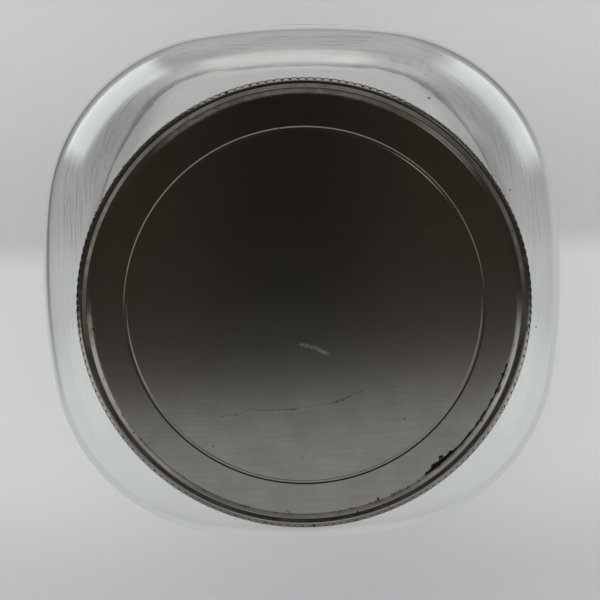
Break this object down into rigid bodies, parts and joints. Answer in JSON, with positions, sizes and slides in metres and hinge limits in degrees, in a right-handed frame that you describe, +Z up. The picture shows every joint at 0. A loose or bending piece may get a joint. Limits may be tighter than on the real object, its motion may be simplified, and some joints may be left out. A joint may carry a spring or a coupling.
{
  "type": "storage jar",
  "caption": "Clear glass storage jar with a rounded-square body, a wide round mouth and a knurled metal screw lid with a board liner.",
  "frame": {"origin": "centre of the base ring, on the surface that the jar stands on", "axes": "+Z up along the jar's axis and out of its mouth; +X and +Y square to two of its sides"},
  "size_m": [0.144, 0.144, 0.1653],
  "materials": {
    "clear_glass": "clear blown soda-lime glass, smooth",
    "satin_metal": "satin tinned steel sheet, worn at the rim",
    "liner_board": "waxed pulp board, matt"
  },
  "bodies": {
    "jar": {"glass_body": "clear_glass"},
    "liner": {"sealing_liner": "liner_board"},
    "lid": {"screw_lid": "satin_metal"}
  },
  "joints": [
    {"name": "lid_rise", "type": "slide", "parent": "jar", "child": "liner", "axis": [0, 0, 1], "range_m": [0, 0.02032]},
    {"name": "lid_turn", "type": "hinge", "parent": "liner", "child": "lid", "pos_m": [0, 0, 0.1649], "axis": [0, 0, 1], "range_deg": [0, 1440]}
  ],
  "couplings": [
    {"joint": "lid_rise", "follows": "lid_turn", "m_per_rad": 0.00080851}
  ]
}
